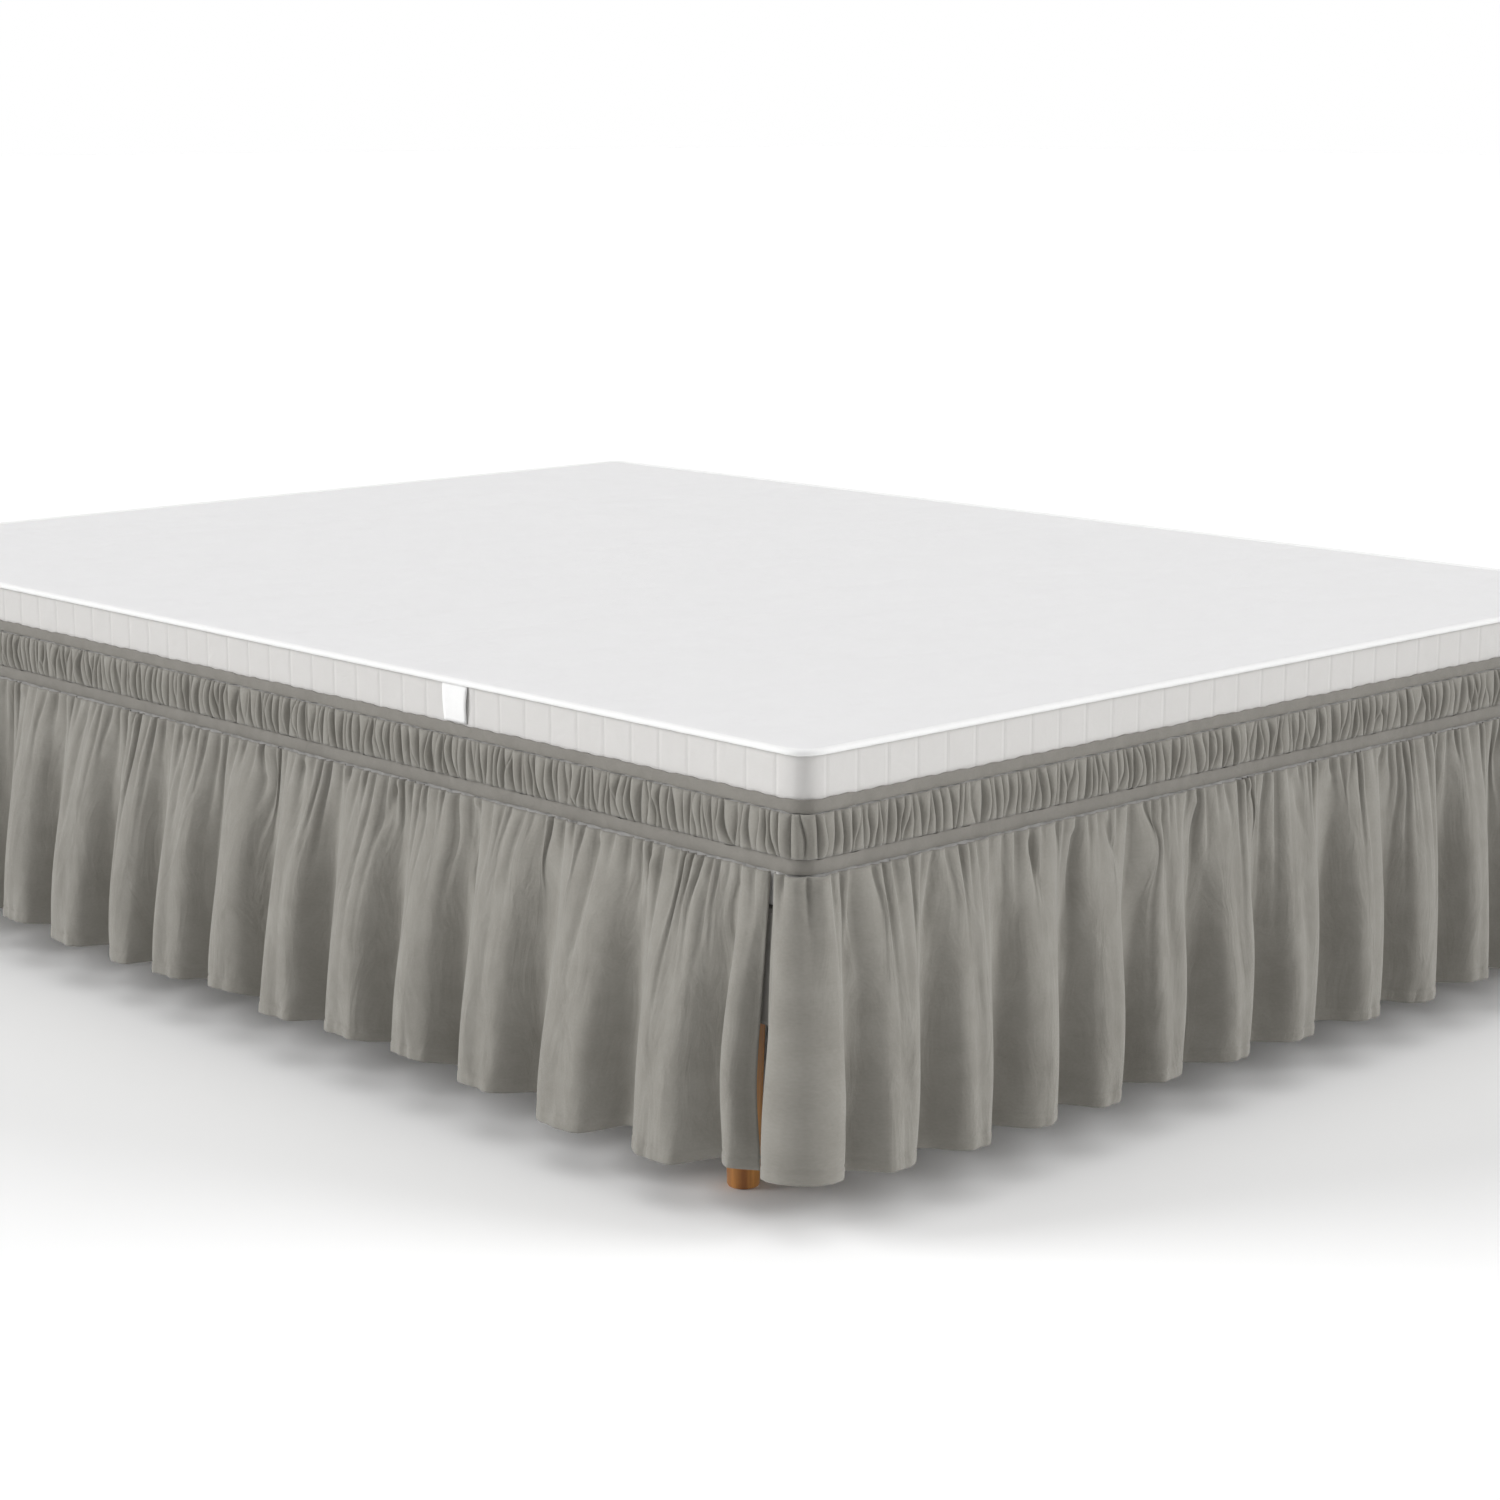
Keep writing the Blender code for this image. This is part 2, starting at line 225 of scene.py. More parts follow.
def cloth_material(
    name, light, dark, coordinates, threads, thread_depth, rumple_size, rumple_depth, mottle, sheen,
    stretch=(1.0, 1.0, 1.0),
):
    """A cloth finish from the woven group, on Object coordinates or on the piece's own UV map."""
    made, tree, shader = new_material(name, 0.85)
    place = add_node(tree, "ShaderNodeTexCoord").outputs[coordinates]
    surface = tree.nodes.new("ShaderNodeGroup")
    surface.node_tree = woven
    tree.links.new(place, surface.inputs["Vector"])
    surface.inputs["Light"].default_value = light
    surface.inputs["Dark"].default_value = dark
    surface.inputs["Threads per metre"].default_value = threads
    surface.inputs["Thread depth"].default_value = thread_depth
    surface.inputs["Rumple size"].default_value = rumple_size
    surface.inputs["Rumple depth"].default_value = rumple_depth
    surface.inputs["Mottle"].default_value = mottle
    surface.inputs["Rumple stretch"].default_value = stretch
    for output, target in (("Color", "Base Color"), ("Roughness", "Roughness"), ("Normal", "Normal")):
        tree.links.new(surface.outputs[output], shader.inputs[target])
    shader.inputs["Sheen Weight"].default_value = sheen
    shader.inputs["Sheen Roughness"].default_value = 0.5
    shader.inputs["Specular IOR Level"].default_value = 0.2
    return made


base_cover = cloth_material(
    "base cover cloth", BASE_CLOTH, BASE_CLOTH_DARK, "Object", 700, 0.00025, 30, 0.0010, 0.8, 0.05
)
base_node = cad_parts["bed_base"]
base_node.data.materials.clear()
base_node.data.materials.append(base_cover)


# Mattress
#
# A white foam mattress in quilted ticking. Soft padded ridges run across its top, parallel to the foot,
# and its border is stitched down in narrow upright channels.
MATTRESS_EDGE = 0.007
MATTRESS_CORNER = 0.022
TOP_STEP = 0.0125
RIDGE_PITCH = 0.165
RIDGE_HEIGHT = 0.0055
CHANNEL_PITCH = 0.043
TOP_LIGHT = (0.800, 0.796, 0.800, 1)
TOP_DARK = (0.740, 0.736, 0.740, 1)
BORDER_LIGHT = (0.610, 0.600, 0.588, 1)
BORDER_DARK = (0.560, 0.548, 0.532, 1)
mattress_low, mattress_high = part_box("mattress")
BED_HALF_X = (mattress_high.x - mattress_low.x) / 2
BED_HALF_Y = (mattress_high.y - mattress_low.y) / 2
BED_MIDDLE_Y = (mattress_high.y + mattress_low.y) / 2


def facing_out(dx, dy):
    """The direction square to the bed's rounded side at a point given from the bed's middle."""
    past_x, past_y = abs(dx) - (BED_HALF_X - MATTRESS_CORNER), abs(dy) - (BED_HALF_Y - MATTRESS_CORNER)
    if past_x <= 0 or past_y <= 0:
        return (math.copysign(1, dx), 0.0) if past_x > past_y else (0.0, math.copysign(1, dy))
    size = math.hypot(past_x, past_y)
    return math.copysign(past_x / size, dx), math.copysign(past_y / size, dy)


def quilted_mattress():
    """A padded top grown over its rounded edge and down its border, with channel distance and height as UV."""
    inner_x, inner_y = BED_HALF_X - MATTRESS_EDGE, BED_HALF_Y - MATTRESS_EDGE
    corner = MATTRESS_CORNER - MATTRESS_EDGE
    bm = bmesh.new()
    bmesh.ops.create_grid(
        bm, x_segments=round(2 * inner_x / TOP_STEP), y_segments=round(2 * inner_y / TOP_STEP), size=1.0
    )
    for vert in bm.verts:
        x, y = vert.co.x * inner_x, vert.co.y * inner_y
        edge = min(inner_x - abs(x), inner_y - abs(y))
        past_x, past_y = abs(x) - (inner_x - corner), abs(y) - (inner_y - corner)
        if past_x > 0 and past_y > 0:
            share = max(past_x, past_y) / math.hypot(past_x, past_y)
            x = math.copysign(inner_x - corner + past_x * share, x)
            y = math.copysign(inner_y - corner + past_y * share, y)
        wander = 0.18 * math.sin(2.1 * x + 0.7) + 0.10 * math.sin(5.3 * x)
        ridge = (0.5 + 0.5 * math.cos(math.tau * (y / RIDGE_PITCH + wander))) ** 1.6
        uneven = 0.75 + 0.25 * math.sin(3.1 * x + 11.0 * y)
        swell = RIDGE_HEIGHT * (ridge - 0.4) * uneven * min(1.0, edge / 0.05)
        vert.co = (x, y + BED_MIDDLE_Y, mattress_high.z + swell)
    rim = [edge for edge in bm.edges if edge.is_boundary]
    bottom = mattress_low.z
    levels = [
        (MATTRESS_EDGE * math.sin(angle), mattress_high.z - MATTRESS_EDGE * (1 - math.cos(angle)))
        for angle in (0.4, 0.8, 1.2, math.pi / 2)
    ]
    levels += [(MATTRESS_EDGE, z) for z in (0.476, 0.458, 0.440, 0.385, bottom + MATTRESS_EDGE)]
    levels += [(MATTRESS_EDGE * 0.7, bottom + MATTRESS_EDGE * 0.3), (0.0, bottom)]
    reached = 0.0
    for out, z in levels:
        grown = bmesh.ops.extrude_edge_only(bm, edges=rim)["geom"]
        rim = [item for item in grown if isinstance(item, bmesh.types.BMEdge) and item.is_boundary]
        for vert in {vert for edge in rim for vert in edge.verts}:
            out_x, out_y = facing_out(vert.co.x, vert.co.y - BED_MIDDLE_Y)
            vert.co.x += out_x * (out - reached)
            vert.co.y += out_y * (out - reached)
            vert.co.z = z
        reached = out
    bmesh.ops.holes_fill(bm, edges=rim, sides=0)
    bmesh.ops.recalc_face_normals(bm, faces=bm.faces[:])
    uv = bm.loops.layers.uv.new("channels")
    for face in bm.faces:
        face.material_index = 0 if abs(face.normal.z) > 0.6 else 1
        across = abs(face.normal.x) > abs(face.normal.y)
        for loop in face.loops:
            loop[uv].uv = (loop.vert.co.y if across else loop.vert.co.x, loop.vert.co.z)
    return bm


def stitched_border():
    """Ticking sewn down in upright channels: a soft swell between thin, slightly darker seams."""
    made = cloth_material(
        "stitched ticking border", BORDER_LIGHT, BORDER_DARK, "UV", 900, 0.00015, 26, 0.0012, 0.7, 0.05
    )
    tree, shader = made.node_tree, made.node_tree.nodes["Principled BSDF"]
    place = add_node(tree, "ShaderNodeTexCoord").outputs["UV"]
    across = add_node(tree, "ShaderNodeSeparateXYZ", Vector=place).outputs["X"]
    wave = tree.nodes.new("ShaderNodeMath")
    wave.operation = "PINGPONG"
    tree.links.new(across, wave.inputs[0])
    wave.inputs[1].default_value = CHANNEL_PITCH / 2
    swell = add_node(tree, "ShaderNodeMapRange", Value=wave.outputs["Value"], From_Max=0.004)
    seam = add_node(tree, "ShaderNodeMapRange", Value=wave.outputs["Value"], From_Max=0.0016, To_Min=0.93)
    surface = next(node for node in tree.nodes if node.type == "GROUP")
    tint = tree.nodes.new("ShaderNodeMix")
    tint.data_type = "RGBA"
    tint.blend_type = "MULTIPLY"
    tint.inputs[0].default_value = 1.0
    tree.links.new(surface.outputs["Color"], tint.inputs[6])
    tree.links.new(seam.outputs["Result"], tint.inputs[7])
    tree.links.new(tint.outputs[2], shader.inputs["Base Color"])
    bump = add_node(
        tree, "ShaderNodeBump", Strength=0.8, Distance=0.0007, Height=swell.outputs["Result"],
        Normal=surface.outputs["Normal"],
    )
    tree.links.new(bump.outputs["Normal"], shader.inputs["Normal"])
    return made


quilted_top = cloth_material(
    "quilted ticking top", TOP_LIGHT, TOP_DARK, "Object", 800, 0.00015, 11, 0.0060, 0.5, 0.05,
    stretch=(0.35, 1.0, 1.0),
)
mattress = finished_piece(
    "mattress_cover", quilted_mattress(), quilted_top, "white_ticking", "mattress", smooth_angle=50
)
mattress.data.materials.append(stitched_border())


# Piping
#
# A bright white tape folded over a cord and sewn into the seam between the mattress's top and its border.
# It stands out all round the top edge.
PIPING_RADIUS = 0.0038
PIPING_SIDES = 12
PIPING_WHITE = (0.860, 0.860, 0.855, 1)
PIPING_SHADE = (0.800, 0.800, 0.795, 1)
CORNER_STEPS = 12
piping_low, piping_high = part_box("mattress_piping")


def bed_ring():
    """Points round the bed's side, anticlockwise from the left side's foot end, with outward directions."""
    straight_x, straight_y = BED_HALF_X - MATTRESS_CORNER, BED_HALF_Y - MATTRESS_CORNER
    points = []
    for quarter, (sign_x, sign_y) in enumerate(((-1, -1), (1, -1), (1, 1), (-1, 1))):
        for step in range(CORNER_STEPS + 1):
            angle = math.pi + math.pi / 2 * (quarter + step / CORNER_STEPS)
            out_x, out_y = math.cos(angle), math.sin(angle)
            x = sign_x * straight_x + MATTRESS_CORNER * out_x
            y = sign_y * straight_y + MATTRESS_CORNER * out_y + BED_MIDDLE_Y
            points.append((x, y, out_x, out_y))
    return np.array(points)


RING = bed_ring()
RING_STEPS = np.hypot(*(np.roll(RING, -1, axis=0) - RING)[:, :2].T)
RING_LENGTH = float(RING_STEPS.sum())
RING_AT = np.concatenate([[0.0], np.cumsum(RING_STEPS[:-1])])
CORNER_ARC = float(RING_STEPS[:CORNER_STEPS].sum())
SIDE_LENGTH = 2 * (BED_HALF_Y - MATTRESS_CORNER)
FOOT_LENGTH = 2 * (BED_HALF_X - MATTRESS_CORNER)


def beside_bed(distance, away, height):
    """Positions at distances round the bed from the left side's foot end, standing away from its side."""
    distance, away, height = np.broadcast_arrays(distance, away, height)
    x, y, out_x, out_y = (np.interp(distance, RING_AT, column, period=RING_LENGTH) for column in RING.T)
    size = np.hypot(out_x, out_y)
    return np.stack([x + out_x / size * away, y + out_y / size * away, height], axis=-1)


def shaped_grid(points, cloth):
    """A grid whose rows run down and whose columns run anticlockwise, moved to the points, with cloth as UV."""
    rows, columns = points.shape[:2]
    bm = bmesh.new()
    bmesh.ops.create_grid(bm, x_segments=columns - 1, y_segments=rows - 1, size=0.5)
    place = {}
    for vert in bm.verts:
        spot = (round((0.5 - vert.co.y) * (rows - 1)), round((0.5 + vert.co.x) * (columns - 1)))
        place[vert] = spot
        vert.co = points[spot]
    uv = bm.loops.layers.uv.new("cloth")
    for face in bm.faces:
        for loop in face.loops:
            loop[uv].uv = cloth[place[loop.vert]]
    return bm


def closed_ring(away, height):
    """A ring round the whole bed with a closed profile; away and height hold a row for each profile point."""
    columns = away.shape[1]
    distance = np.arange(columns) / (columns - 1) * RING_LENGTH
    away, height = np.vstack([away, away[:1]]), np.vstack([height, height[:1]])
    down = np.cumsum(np.hypot(np.diff(away[:, 0], prepend=away[0, 0]), np.diff(height[:, 0], prepend=height[0, 0])))
    cloth = np.stack(np.broadcast_arrays(distance[None, :], -down[:, None]), axis=-1)
    bm = shaped_grid(beside_bed(distance[None, :], away, height), cloth)
    bmesh.ops.remove_doubles(bm, verts=bm.verts[:], dist=1e-5)
    bmesh.ops.recalc_face_normals(bm, faces=bm.faces[:])
    return bm


columns = round(RING_LENGTH / 0.012)
turns = np.arange(PIPING_SIDES)[:, None] / PIPING_SIDES * math.tau
stitch_wave = 0.0001 * np.sin(np.arange(columns) / (columns - 1) * math.tau * 180)[None, :]
piping_middle = -BED_HALF_X - (piping_low.x + PIPING_RADIUS)
away = piping_middle + (PIPING_RADIUS + stitch_wave) * np.cos(turns)
height = (piping_low.z + piping_high.z) / 2 + (PIPING_RADIUS + stitch_wave) * np.sin(turns)
piping_tape = cloth_material(
    "piping tape", PIPING_WHITE, PIPING_SHADE, "UV", 1100, 0.0001, 40, 0.0004, 0.4, 0.0
)
finished_piece("piping", closed_ring(away, height), piping_tape, "white_piping", "mattress_piping")


# Mattress strap
#
# A short blank strap of white tape on the left of the border. Its upper end is caught in the piping's seam,
# and its lower end is tucked behind the skirt's upper band.
STRAP_FROM_CORNER = 0.545
STRAP_WIDTH = 0.044
STRAP_THICKNESS = 0.0012
STRAP_LIFT = 0.0020
STRAP_LOW = 0.4462
STRAP_HIGH = 0.4895
strap_tape = cloth_material("strap tape", PIPING_WHITE, PIPING_SHADE, "UV", 900, 0.0002, 60, 0.0006, 0.4, 0.0)
down = np.linspace(0, 1, 13)[:, None]
across = np.linspace(0, 1, 9)[None, :]
middle = -(STRAP_FROM_CORNER - MATTRESS_CORNER)
lift = STRAP_THICKNESS + 0.0004 + STRAP_LIFT * np.sin(math.pi * down) * (0.5 + 0.5 * across ** 2)
points = beside_bed(
    middle + (across - 0.5) * STRAP_WIDTH * (1 - 0.12 * down), lift, STRAP_HIGH + (STRAP_LOW - STRAP_HIGH) * down
)
cloth = np.stack(np.broadcast_arrays(across * STRAP_WIDTH, -down * (STRAP_HIGH - STRAP_LOW)), axis=-1)
strap = finished_piece("blank_strap", shaped_grid(points, cloth), strap_tape, "white_piping")
solid = strap.modifiers.new("thickness", "SOLIDIFY")
solid.thickness = STRAP_THICKNESS
solid.offset = -1


# Elastic bands
#
# Two flat knitted elastics, stretched all round the bed, one above and one below the gathered header.
# They grip the mattress; the gathers sewn to them make their edges slightly uneven.
ELASTIC_LIGHT = (0.262, 0.250, 0.226, 1)
ELASTIC_DARK = (0.178, 0.168, 0.150, 1)
ELASTIC_STEP = 0.006
ELASTIC_RIBS = 5
ELASTIC_RIB_DEPTH = 0.00025
elastic_knit = cloth_material(
    "knitted elastic", ELASTIC_LIGHT, ELASTIC_DARK, "UV", 520, 0.0003, 60, 0.0010, 0.9, 0.1
)
for band_node, seed in (("elastic_upper", 3), ("elastic_lower", 8)):
    low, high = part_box(band_node)
    thick = -BED_HALF_X - low.x
    columns = round(RING_LENGTH / ELASTIC_STEP)
    around = np.arange(columns) / (columns - 1) * math.tau
    pull = sum(
        np.sin(around * cycles + seed * cycles) / count
        for count, cycles in ((3.0, 47), (2.5, 131), (2.0, 303))
    )[None, :]
    across = np.linspace(0, 1, 2 * ELASTIC_RIBS + 1)[:, None]
    rib = ELASTIC_RIB_DEPTH * np.cos(across * ELASTIC_RIBS * math.tau)
    face_away = thick + rib - 0.0004 + 0.0004 * pull
    edge_wave = 0.0009 * pull
    face_height = high.z - 0.0005 - (high.z - low.z - 0.001) * across + edge_wave * (2 * across - 1)
    back_away = np.full((2, columns), 0.0004)
    back_height = np.vstack([face_height[-1:], face_height[:1]])
    bm = closed_ring(np.vstack([face_away, back_away]), np.vstack([face_height, back_height]))
    band = finished_piece(band_node.replace("elastic", "elastic_band"), bm, elastic_knit, "taupe_elastic", band_node)


# Gathered header
#
# A strip of the skirt's own brushed cloth between the two elastics, on the sides and the foot.
# The elastic draws it up into close, uneven puckers that puff out, with narrow dark creases between them.
CLOTH_LIGHT = (0.292, 0.282, 0.254, 1)
CLOTH_DARK = (0.196, 0.185, 0.162, 1)
CLOTH_THICKNESS = 0.0009
PUCKER_WIDTHS = (0.0062, 0.0145)
PUCKER_DEPTHS = (0.0038, 0.0092)
PUCKER_SHAPE = (0.0, 0.08, 0.28, 0.55, 0.80, 0.94)
PUCKER_SLANT = 0.0060
PUCKER_WANDER = 0.0016
PUCKER_FULL_WIDTH = 0.010
PUCKER_AT_SEAM = 0.30
HEADER_BACK = 0.0034
HEADER_ROWS = 14
skirt_cloth = cloth_material(
    "brushed taupe cloth", CLOTH_LIGHT, CLOTH_DARK, "UV", 1300, 0.00012, 30, 0.0036, 1.0, 0.2,
    stretch=(1.0, 0.4, 1.0),
)


def gather_marks(rng, length, narrow, wide):
    """Where each gather starts along a seam of that length, ending with the seam's own end."""
    widths = []
    while sum(widths) < length:
        widths.append(rng.uniform(narrow, wide))
    marks = np.concatenate([[0.0], np.cumsum(widths)])
    return marks * length / marks[-1]


def puckered_strip(rng, start, length, high, low):
    """A strip drawn up between two heights, its puckers slanting and wandering on their way down."""
    marks = gather_marks(rng, length, *PUCKER_WIDTHS)
    count = len(marks) - 1
    inner = np.ones(count + 1)
    inner[[0, -1]] = 0.0
    slant = inner * rng.normal(0, PUCKER_SLANT, count + 1)
    wander = inner * rng.normal(0, PUCKER_WANDER, count + 1)
    bend = rng.uniform(0, math.tau, count + 1)
    depth = rng.uniform(*PUCKER_DEPTHS, count)
    shallow = rng.uniform(0, 1, count + 1) ** 2
    phase = np.append((np.arange(count)[:, None] + np.array(PUCKER_SHAPE)).ravel(), count)
    number = np.minimum(phase.astype(int), count - 1)
    bulge = np.sin(math.pi * (phase - number)) ** 0.6
    crease = np.interp(phase, np.arange(count + 1), shallow)
    points, cloth = [], []
    for share in np.linspace(0, 1, HEADER_ROWS) ** 1.0:
        moved = np.maximum.accumulate(marks + slant * (share - 0.5) + wander * np.sin(bend + 5 * share))
        width = np.diff(moved)[number]
        here = np.interp(phase, np.arange(count + 1), moved)
        puff = PUCKER_AT_SEAM + (1 - PUCKER_AT_SEAM) * math.sin(math.pi * share) ** 0.6
        stands = depth[number] * np.clip(width / PUCKER_FULL_WIDTH, 0.15, 1.0)
        away = HEADER_BACK + puff * (stands * bulge + 0.002 * crease * (1 - bulge))
        points.append(beside_bed(start + here, away, high + (low - high) * share))
        cloth.append(np.stack([phase * 0.016, np.full_like(phase, -share * (high - low))], axis=-1))
    return shaped_grid(np.array(points), np.array(cloth))


header_low, header_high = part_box("header")
header_length = 2 * SIDE_LENGTH + 2 * CORNER_ARC + FOOT_LENGTH
bm = puckered_strip(np.random.default_rng(21), -SIDE_LENGTH, header_length, header_high.z, header_low.z)
header = finished_piece("gathered_header", bm, skirt_cloth, "taupe_cloth", "header", smooth_angle=180)
solid = header.modifiers.new("thickness", "SOLIDIFY")
solid.thickness = CLOTH_THICKNESS
solid.offset = -1


# Hanging panels
#
# Three panels of the same brushed cloth, one for each side and one for the foot, gathered into the lower
# elastic. The small gathers run together into a few deep folds; each panel has a narrow stitched hem, and the
# foot panel wraps a little way round both corners, where the panels part.
HEM = 0.013
VALLEY_DEPTH = 0.010
NEAREST = 0.0037
GATHER_WIDTHS = (0.0095, 0.0260)
GATHER_DEPTHS = (0.0030, 0.0105)
GATHER_LENGTHS = (0.022, 0.130)
GATHER_SHAPE = (0.0, 0.13, 0.36, 0.64, 0.87)
SPLIT_BOW = 0.009
SPLIT_WIDEST = 0.68
SPLIT_WIDTH = 0.005
SPLIT_REACH = 0.110
FOOT_PANEL_WRAP = 0.037
SIDE_LEAN = 0.012
FOOT_LEAN = -0.028
LEAN_STARTS = 0.120
DROP_HEIGHT = 0.307
RIDGE_BREADTH = 1.6

# The folds of each panel: width, how far it stands out at the hem, how far the hem falls below the common
# line, how lopsided it is, and how deep a second dent its ridge has. Side panels run from the foot corner.
LEFT_FOLDS = (
    (0.052, 0.040, -0.004, 0.0, 0.000),
    (0.142, 0.061, 0.009, 0.3, 0.006),
    (0.147, 0.064, 0.010, 0.5, 0.003),
    (0.137, 0.062, -0.001, 0.2, 0.007),
    (0.119, 0.058, -0.008, 0.6, 0.000),
    (0.129, 0.061, -0.005, 0.1, 0.004),
    (0.120, 0.063, 0.000, 0.5, 0.005),
    (0.115, 0.057, -0.009, 0.2, 0.000),
    (0.119, 0.060, -0.002, 0.4, 0.005),
    (0.105, 0.055, 0.004, 0.0, 0.000),
    (0.136, 0.062, 0.002, 0.5, 0.004),
    (0.122, 0.057, -0.003, 0.2, 0.000),
    (0.140, 0.063, 0.004, 0.3, 0.006),
    (0.128, 0.058, -0.002, 0.5, 0.000),
    (0.134, 0.061, 0.001, 0.1, 0.005),
    (0.123, 0.052, -0.001, 0.3, 0.000),
)
FOOT_FOLDS = (
    (0.064, 0.046, -0.004, 0.0, 0.000),
    (0.104, 0.057, -0.002, -0.3, 0.004),
    (0.108, 0.062, 0.000, -0.4, 0.006),
    (0.103, 0.058, 0.001, -0.2, 0.000),
    (0.105, 0.061, 0.001, -0.5, 0.003),
    (0.107, 0.057, -0.004, -0.1, 0.005),
    (0.120, 0.063, -0.004, -0.4, 0.005),
    (0.125, 0.060, -0.001, -0.3, 0.006),
    (0.124, 0.063, 0.000, -0.5, 0.003),
    (0.110, 0.057, 0.003, -0.1, 0.000),
    (0.104, 0.060, -0.002, -0.4, 0.004),
    (0.114, 0.062, 0.002, -0.2, 0.006),
    (0.100, 0.055, 0.000, -0.3, 0.000),
    (0.108, 0.059, 0.003, -0.4, 0.004),
    (0.083, 0.046, -0.003, 0.0, 0.000),
)
RIGHT_FOLDS = (
    (0.061, 0.042, -0.003, 0.0, 0.000),
    (0.134, 0.060, 0.004, 0.4, 0.005),
    (0.151, 0.064, 0.006, 0.2, 0.007),
    (0.122, 0.056, -0.003, 0.5, 0.000),
    (0.139, 0.061, 0.001, 0.1, 0.005),
    (0.125, 0.058, 0.004, -0.3, 0.003),
    (0.113, 0.054, -0.002, 0.3, 0.000),
    (0.147, 0.063, 0.005, 0.5, 0.007),
    (0.122, 0.057, 0.000, -0.2, 0.000),
    (0.134, 0.060, -0.004, 0.4, 0.006),
    (0.118, 0.055, 0.002, 0.1, 0.000),
    (0.148, 0.062, 0.003, 0.3, 0.006),
    (0.127, 0.058, -0.001, -0.2, 0.003),
    (0.121, 0.060, 0.003, 0.4, 0.000),
    (0.106, 0.056, 0.001, 0.2, 0.004),
    (0.100, 0.050, 0.000, 0.0, 0.000),
)

# Creases listed one by one: distance from the panel's first edge, height below the lower elastic where it
# starts, length, how far it slants, width, and depth (a trough is positive, a ridge negative)
LEFT_CREASES = (
    (0.045, 0.010, 0.260, 0.012, 0.007, 0.0030),
    (0.098, 0.015, 0.130, -0.022, 0.006, 0.0040),
    (0.175, 0.008, 0.085, 0.020, 0.006, -0.0040),
    (0.262, 0.004, 0.180, 0.016, 0.006, 0.0046),
    (0.330, 0.060, 0.200, -0.014, 0.009, 0.0030),
    (0.398, 0.006, 0.110, 0.018, 0.006, -0.0038),
    (0.474, 0.004, 0.150, -0.012, 0.005, 0.0050),
    (0.560, 0.020, 0.240, 0.010, 0.008, 0.0034),
    (0.612, 0.004, 0.075, 0.022, 0.005, 0.0052),
    (0.700, 0.010, 0.180, 0.012, 0.007, -0.0034),
    (0.792, 0.004, 0.120, -0.016, 0.006, 0.0046),
    (0.866, 0.030, 0.230, 0.008, 0.009, 0.0030),
    (0.930, 0.004, 0.095, 0.020, 0.005, 0.0048),
    (1.040, 0.008, 0.170, -0.012, 0.007, 0.0036),
    (1.150, 0.004, 0.130, 0.018, 0.006, -0.0036),
    (1.262, 0.012, 0.220, 0.010, 0.008, 0.0034),
    (1.420, 0.006, 0.120, -0.018, 0.006, 0.0042),
    (1.610, 0.010, 0.200, 0.012, 0.008, 0.0032),
    (1.780, 0.004, 0.110, 0.016, 0.006, 0.0044),
)
FOOT_CREASES = (
    (0.030, 0.006, 0.240, 0.010, 0.006, 0.0030),
    (0.072, 0.012, 0.120, -0.010, 0.005, 0.0042),
    (0.130, 0.004, 0.200, 0.010, 0.006, -0.0036),
    (0.178, 0.004, 0.100, -0.014, 0.005, 0.0046),
    (0.248, 0.030, 0.220, -0.008, 0.008, 0.0032),
    (0.318, 0.004, 0.090, 0.016, 0.005, 0.0050),
    (0.395, 0.010, 0.160, -0.016, 0.006, 0.0040),
    (0.440, 0.004, 0.060, 0.018, 0.005, 0.0056),
    (0.540, 0.012, 0.230, -0.010, 0.008, 0.0034),
    (0.600, 0.004, 0.110, 0.012, 0.006, -0.0040),
    (0.690, 0.008, 0.190, -0.018, 0.007, 0.0040),
    (0.770, 0.004, 0.080, 0.014, 0.005, 0.0048),
    (0.850, 0.020, 0.220, -0.010, 0.008, 0.0034),
    (0.940, 0.004, 0.120, 0.012, 0.006, 0.0044),
    (1.060, 0.010, 0.200, -0.012, 0.007, 0.0034),
    (1.200, 0.004, 0.100, 0.014, 0.006, -0.0040),
    (1.330, 0.010, 0.180, -0.010, 0.007, 0.0036),
    (1.470, 0.006, 0.160, 0.010, 0.006, 0.0038),
)
RIGHT_CREASES = (
    (0.060, 0.008, 0.220, 0.010, 0.007, 0.0032),
    (0.180, 0.004, 0.110, -0.016, 0.006, 0.0044),
    (0.300, 0.020, 0.230, 0.010, 0.008, 0.0034),
    (0.430, 0.004, 0.100, 0.018, 0.006, -0.0040),
    (0.570, 0.010, 0.190, -0.012, 0.007, 0.0038),
    (0.700, 0.004, 0.090, 0.016, 0.005, 0.0048),
    (0.860, 0.016, 0.220, 0.010, 0.008, 0.0034),
    (1.010, 0.004, 0.120, -0.014, 0.006, 0.0042),
    (1.180, 0.010, 0.200, 0.012, 0.007, 0.0036),
    (1.340, 0.004, 0.100, 0.016, 0.006, -0.0038),
    (1.520, 0.012, 0.210, -0.010, 0.008, 0.0034),
    (1.690, 0.004, 0.110, 0.014, 0.006, 0.0044),
    (1.840, 0.010, 0.180, 0.008, 0.007, 0.0034),
)


def eased(value):
    """A value held between 0 and 1, with soft ends."""
    value = np.clip(value, 0.0, 1.0)
    return value * value * (3 - 2 * value)


def ridge_shape(turn):
    """How far out a fold stands over its width: 0 in its narrow valleys, 1 over its broad ridge."""
    rounded = 0.5 - 0.5 * np.cos(math.tau * turn)
    broad = eased(RIDGE_BREADTH * (1 - np.abs(2 * turn - 1)))
    return 0.4 * rounded + 0.6 * broad


